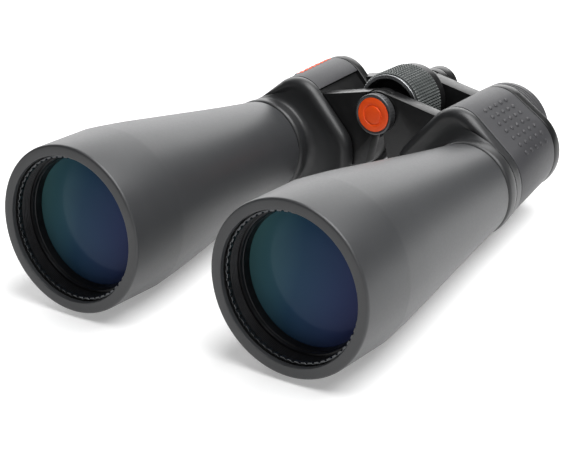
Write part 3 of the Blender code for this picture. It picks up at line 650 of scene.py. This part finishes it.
def orange_bars(side):
    """A row of small plain bars near the top of the right grip."""
    edit = bmesh.new()
    for k in range(8):
        y = 191.5 + k * 4.1
        facing = 68
        x, z = housing_spot(facing, y)
        normal = Vector((side * math.cos(math.radians(facing)), 0, math.sin(math.radians(facing))))
        down = Vector((side * math.sin(math.radians(facing)), 0, -math.cos(math.radians(facing))))
        centre = Vector((side * x, y, z))
        loops = []
        for lift, shrink in ((-0.4, 0), (0.15, 0), (0.3, 0.25)):
            half_y, half_down = 1.0 - shrink, 2.0 - shrink
            loops.append([edit.verts.new((centre + normal * lift + down * a * half_down
                                          + Vector((0, b * half_y, 0))) * MM)
                          for a, b in ((-1, -1), (1, -1), (1, 1), (-1, 1))])
        skin(edit, loops, False)
        edit.faces.new(loops[0])
        edit.faces.new(loops[-1])
    show(place("right_orange_bars", edit, ORANGE), "right_half", "orange_plastic")


def rear_cover(label, side):
    """Rear plate with a rounded rim, its arm and the eyepiece's guide."""
    eyepiece = (side * EYEPIECE_X, EYEPIECE_Z)
    rings = []
    for offset, y in ((-0.6, REAR_FRONT), (-0.1, REAR_FRONT + 0.2), (0.1, REAR_FRONT + 0.7), (0.1, 228.4),
                      (-0.1, 229.3), (-0.7, 230.1), (-1.6, 230.6), (-2.8, REAR_BACK)):
        spots = [housing_spot(facing, REAR_FRONT, offset) for facing in range(-180, 180)]
        rings.append([(side * x, y, z) for x, z in spots])
    plate = loft(label + "_rear_plate", rings, CASTING, False, True)
    guide = plug(label + "_guide", [(15.5, 226), (15.5, 234.9), (15.3, 235.4), (14.8, 235.6)], eyepiece,
                 CASTING)
    steps = [("UNION", guide),
             ("DIFFERENCE", rod(label + "_guide_bore", GUIDE_BORE, (220, 240), eyepiece, CASTING))]
    for facing in SCREW_FACINGS:
        centre = hull_point(BACK_CIRCLES, facing, SCREW_INSET, side)
        steps.append(("DIFFERENCE", rod(label + "_recess", 3.3, (230.2, 233), centre, CASTING, 48)))
    carve(plate, steps)
    show(plate, label + "_half", "satin_black", label + "_rear_cover")
    arm = hinge_arm(label + "_rear_arm", arm_outline(side, 2), ARM_REAR, side)
    ocular_room = rod(label + "_arm_bore", GUIDE_BORE, (220, 240), eyepiece, CASTING)
    carve(arm, [("DIFFERENCE", ocular_room)])
    show(arm, label + "_half", "satin_black")


def cover_screws(label, side):
    """Countersunk screws with cross recesses."""
    for number, facing in enumerate(SCREW_FACINGS, 1):
        centre = hull_point(BACK_CIRCLES, facing, SCREW_INSET, side)
        head = [(0, 232.2), (1.4, 232.1), (2.5, 231.6, 0.2), (2.7, 230.9), (1.3, 230.9), (1.3, 214),
                (0, 214)]
        screw = turned(f"{label}_screw_{number}", filleted(head, False), centre, STEEL, 48)
        blades = []
        for turn in (35, 125):
            direction = Vector((math.cos(math.radians(turn)), math.sin(math.radians(turn))))
            normal = Vector((-direction.y, direction.x))
            corners = [Vector(centre) + direction * a * 1.5 + normal * b * 0.28
                       for a, b in ((-1, -1), (1, -1), (1, 1), (-1, 1))]
            blades.append(("DIFFERENCE", slab("blade", [tuple(c) for c in corners], (231.3, 234), STEEL)))
        carve(screw, blades)
        show(screw, label + "_half", "steel", f"{label}_cover_screw_{number}")


def strap_lug(label, side):
    """Wire bail for the neck strap, with a smooth bend."""
    x, z, base = side * 78.0, 0.0, REAR_BACK + 0.2
    half, reach = 5.5, 8.0
    path = filleted([(-half, 0), (-half, reach, 2.4), (half, reach, 2.4), (half, 0)], False, 8)
    wire = bpy.data.curves.new(label + "_bail", "CURVE")
    wire.dimensions = "3D"
    wire.bevel_depth = 1.3 * MM
    wire.bevel_resolution = 6
    wire.use_fill_caps = True
    line = wire.splines.new("POLY")
    line.points.add(len(path) - 1)
    for point, (along, out) in zip(line.points, path):
        point.co = (x * MM, (base + out) * MM, (z + along) * MM, 1)
    bail = bpy.data.objects.new(label + "_bail", wire)
    scene.collection.objects.link(bail)
    bpy.context.view_layer.update()
    mesh = bpy.data.meshes.new_from_object(bail.evaluated_get(bpy.context.evaluated_depsgraph_get()))
    bpy.data.objects.remove(bail)
    edit = bmesh.new()
    edit.from_mesh(mesh)
    piece = place(label + "_strap_bail", edit, STEEL, 60)
    show(piece, label + "_half", "steel", label + "_strap_lug")


# ---------------------------------------------------------------------------------------------------
# Hinge, focus drive and tripod cap
# ---------------------------------------------------------------------------------------------------

def focus_wheel():
    """Knurled rubber grip on a dark core, with a bright ring at its front."""
    core = [(6.3, 223.4), (18.8, 223.4, 0.5), (18.8, 217.7, 0.3), (17.5, 217.7), (17.5, 194.4),
            (15.8, 194.4, 0.3), (14.0, 200, 1.0), (8.6, 200, 0.8), (8.6, 192.5, 0.5), (6.3, 192.5, 0.3)]
    show(turned("wheel_core", filleted(core), HINGE, CASTING), "focus_wheel", "satin_black",
         "focus_wheel_core")
    trim = [(18.7, 194.5), (18.7, 193.0, 0.35), (16.7, 192.7, 0.35), (16.0, 194.5)]
    show(turned("wheel_trim", filleted(trim), HINGE, ALUMINIUM), "focus_wheel", "bright_aluminium",
         "focus_wheel_trim")
    ridges, rows = 72, 9
    crest, valley, shoulder = 19.9, 19.25, 19.2
    front, back = 194.8, 217.4
    pitch = (back - front - 2.4) / rows
    outside = [(shoulder, front), (crest, front + 0.8), (crest, front + 1.2)]
    for k in range(rows):
        y = front + 1.2 + k * pitch
        outside += [(crest, y + 0.05), (crest, y + 0.55 * pitch), (valley, y + 0.7 * pitch),
                    (valley, y + 0.9 * pitch)]
    outside += [(crest, back - 1.1), (crest, back - 0.8), (shoulder, back)]
    profile = [(17.8, front)] + outside + [(17.8, back)]

    def knurled(radius, y, turn):
        if radius <= valley:
            return radius
        wave = math.cos(turn * ridges)
        return radius - 0.7 * max(0.0, min(1.0, 0.5 - wave * 1.2))

    grip = turned("wheel_grip", profile, HINGE, KNURL_RUBBER, ridges * 8, knurled, 40)
    show(grip, "focus_wheel", "knurled_rubber", "focus_wheel_grip")


def tripod_cap():
    """Cap of the tripod socket: milled side, dark bezel and an orange disc with a turned groove."""
    flutes = 36
    profile = [(0, 190), (3.0, 190), (3.0, 180.6), (9.4, 180.6), (9.4, 181.7), (11.4, 181.7, 0.3),
               (11.5, 178.0), (11.5, 177.0, 0.6), (10.6, 176.7, 0.3), (9.9, 176.9), (9.9, 177.5), (0, 177.5)]

    def milled(radius, y, turn):
        return radius - 0.12 * (math.sin(turn * flutes) > 0.2) if radius > 11.3 and y > 177.9 else radius

    cap = turned("cap_body", filleted(profile, False, 4), HINGE, CAP_PAINT, flutes * 6, milled)
    show(cap, "tripod_cap", "cap_plastic", "tripod_cap")
    disc = [(0, 177.3), (9.7, 177.3), (9.7, 176.75, 0.2), (6.2, 176.6, 0.15), (6.0, 177.05, 0.1),
            (5.0, 177.05, 0.1), (4.8, 176.55, 0.15), (0, 176.5)]
    show(turned("cap_disc", filleted(disc, False, 3), HINGE, ORANGE, FINE), "tripod_cap", "orange_plastic",
         "cap_inlay")


def bridge(label, side):
    """Arm from the focus spindle to the eyepiece with the ring that holds the ocular."""
    eyepiece = (side * EYEPIECE_X, EYEPIECE_Z)
    body = "left_eyepiece" if side > 0 else "right_bridge"
    circles = ((0, HINGE_Z, 5.5), (EYEPIECE_X, EYEPIECE_Z, 16.0))
    outline = [hull_point(circles, 360 * k / 120, 0, side) for k in range(120)]
    ring = rod(label + "_bridge_ring", 18.5, BRIDGE, eyepiece, CASTING)
    span = (BRIDGE[0] + 0.2, BRIDGE[1] - 0.2)
    own, room = lug_spans(span, side)
    arm = slab(label + "_bridge", outline, span, CASTING)
    steps = [("UNION", ring),
             ("DIFFERENCE", rod("room", HUB_RADIUS + 0.5, room, HINGE, CASTING)),
             ("UNION", rod("lug", HUB_RADIUS, own, HINGE, CASTING)),
             ("DIFFERENCE", rod("spindle_bore", 4.4, (230, 260), HINGE, CASTING, 64)),
             ("DIFFERENCE", rod("ocular_bore", GUIDE_BORE, (230, 260), eyepiece, CASTING))]
    carve(arm, steps, 0.5)
    show(arm, body, "satin_black", label + "_bridge_arm")


def bridge_cap():
    """Shallow cap on the end of the spindle."""
    profile = [(0, 252.4), (7.4, 252.3), (9.9, 252.1, 0.7), (10.9, 251.2, 0.3), (10.9, 250.8), (0, 250.8)]
    show(turned("spindle_cap", filleted(profile, False), HINGE, CASTING, FINE), "focus_spindle",
         "cap_plastic", "bridge_cap")


# ---------------------------------------------------------------------------------------------------
# Eyepieces
# ---------------------------------------------------------------------------------------------------

def ocular(label, side):
    """Ocular barrel, its eye lens and the ribbed rubber eyecup."""
    centre = (side * EYEPIECE_X, EYEPIECE_Z)
    body = "left_eyepiece" if side > 0 else "right_ocular"
    barrel = [(18.2, 264.6, 0.4), (SHELL_RADIUS, 263.6), (SHELL_RADIUS, 257.2, 0.3), (16.4, 257.2),
              (16.4, 252.2), (12.4, 252.2), (12.4, 226, 0.4), (10.9, 226), (10.9, 260), (11.7, 260),
              (11.7, 263.8, 0.2), (13.0, 264.6, 0.3)]
    show(turned(label + "_eyepiece_shell", filleted(barrel, arc=3), centre, CASTING), body, "satin_black",
         label + "_ocular_barrel")
    rings = 12
    dome = [(11.4 * k / rings, 264.0 - 1.8 * (k / rings) ** 2) for k in range(rings + 1)]
    painted_reflection = coated_glass(label + "_eye_painted_reflection", side, EYEPIECE_X, 11.4, EYE_PAINTED_REFLECTION)
    show(turned(label + "_eye_element", dome + [(11.4, 260.3), (0, 260.3)], centre, painted_reflection, FINE), body,
         "coated_glass", label + "_eye_lens")
    ribs = []
    for k in range(4):
        y = 272.5 - k * 2.1
        ribs += [(EYECUP_RADIUS, y + 0.9, 0.3), (EYECUP_RADIUS - 0.7, y + 0.5, 0.2),
                 (EYECUP_RADIUS - 0.7, y, 0.2), (EYECUP_RADIUS, y - 0.4, 0.3)]
    cup = [(24.2, EYECUP_END, 0.6), (EYECUP_RADIUS, 276.6, 0.8)] + ribs + [
        (EYECUP_RADIUS, 264.8, 0.6), (24.0, 262.2, 1.5), (21.6, 260.6, 1.0), (21.5, 257.4, 0.4),
        (SHELL_RADIUS + 0.3, 257.4), (SHELL_RADIUS + 0.3, 265.4, 0.5), (21.2, 272, 2.0),
        (22.8, EYECUP_END, 0.5)]
    show(turned(label + "_rubber_cup", filleted(cup, arc=4), centre, EYECUP_RUBBER), body, "rubber_armour",
         label + "_eyecup")


def eyepiece_ring(node, body, side):
    """Ribbed ring in front of the eyepiece's shell."""
    ridges = 48
    centre = (side * EYEPIECE_X, EYEPIECE_Z)
    profile = [(16.7, 250.5), (20.0, 250.5, 0.3), (20.5, 251.2, 0.2), (20.5, 254.3, 0.2), (20.0, 255.0, 0.3),
               (16.7, 255.0)]

    def ribbed(radius, y, turn):
        return radius - 0.45 * (math.sin(turn * ridges) > 0.3) if radius > 20.1 else radius

    ring = turned(node + "_grip", filleted(profile, arc=3), centre, KNURL_RUBBER, ridges * 8, ribbed)
    show(ring, body, "knurled_rubber", node)


# ---------------------------------------------------------------------------------------------------
# Table, light and camera
# ---------------------------------------------------------------------------------------------------

def table():
    """Pale floor under the binoculars, glowing softly like a lit table."""
    edit = bmesh.new()
    reach = 6.0
    corners = [(-reach, -reach), (reach, -reach), (reach, reach), (-reach, reach)]
    edit.faces.new([edit.verts.new((x, y, -0.0002)) for x, y in corners])
    mesh = bpy.data.meshes.new("table")
    edit.to_mesh(mesh)
    edit.free()
    paper = Surface("table_paper", 0.6, 0.0, Specular_IOR_Level=0.2, Emission_Color=(1, 1, 1, 1),
                    Emission_Strength=0.28)
    paper.colour((0.76, 0.76, 0.76), (0.79, 0.79, 0.79), paper.noise(120, 2.0))
    mesh.materials.append(paper.material)
    floor = bpy.data.objects.new("table", mesh)
    scene.collection.objects.link(floor)


def area_light(name, position, target, size, radiance):
    """Rectangular soft light at a position in metres, aimed at a target and as bright as radiance."""
    lamp = bpy.data.lights.new(name, "AREA")
    lamp.shape = "RECTANGLE"
    lamp.size, lamp.size_y = size
    lamp.energy = radiance * math.pi * size[0] * size[1]
    light = bpy.data.objects.new(name, lamp)
    light.location = position
    light.rotation_euler = (Vector(target) - Vector(position)).to_track_quat("-Z", "Y").to_euler()
    light.visible_camera = False
    scene.collection.objects.link(light)


def studio():
    """Bright tent: a strong soft light overhead, a lit wall behind and weak light from the front."""
    world = bpy.data.worlds.new("tent")
    scene.world = world
    scene.view_settings.view_transform = "Standard"
    world.use_nodes = True
    background = world.node_tree.nodes["Background"]
    background.inputs["Color"].default_value = (1, 1, 1, 1)
    background.inputs["Strength"].default_value = 0.06
    area_light("overhead", (0.4, 0.1, 1.1), (0, 0.02, 0), (1.3, 1.0), 6.8)
    area_light("back_wall", (-1.0, 1.2, 0.75), (0, 0, 0.1), (2.6, 1.4), 2.8)
    area_light("front", (1.1, -1.1, 0.6), (0, 0, 0.05), (1.4, 0.8), 1.1)


def camera():
    """Camera at the viewing angle of the product picture, in the design frame."""
    azimuth, elevation = math.radians(35.164), math.radians(20.761)
    distance, focal = 0.83256, 111.9
    aside, above = 0.051361, 0.016364
    back = Vector((math.sin(azimuth) * math.cos(elevation), -math.cos(azimuth) * math.cos(elevation),
                   math.sin(elevation)))
    right = Vector((math.cos(azimuth), math.sin(azimuth), 0))
    up = back.cross(right)
    lens = bpy.data.cameras.new("camera")
    lens.lens = focal
    lens.sensor_width = 36
    lens.clip_start, lens.clip_end = 0.05, 20
    eye = bpy.data.objects.new("camera", lens)
    scene.collection.objects.link(eye)
    turn = Matrix((right, up, back)).transposed().to_4x4()
    eye.matrix_world = DESIGN @ Matrix.Translation(right * aside + up * above + back * distance) @ turn
    scene.camera = eye


# ---------------------------------------------------------------------------------------------------
# Assembly
# ---------------------------------------------------------------------------------------------------

camera()
studio()
table()
finish_cad_nodes()
for label, side in SIDES.items():
    objective = (side * OBJECTIVE_X, 0)
    barrel_armour(label, objective)
    retaining_ring(label, objective)
    objective_cell(label, objective)
    objective_lens(label, side, objective)
    front_cover(label, side)
    prism_housing(label, side)
    grip_armour(label, side)
    rear_cover(label, side)
    cover_screws(label, side)
    strap_lug(label, side)
    bridge(label, side)
    ocular(label, side)
eyepiece_ring("left_eyepiece_ring", "left_eyepiece", 1)
eyepiece_ring("diopter_ring", "diopter_ring", -1)
orange_bars(-1)
focus_wheel()
tripod_cap()
bridge_cap()

bpy.context.view_layer.update()
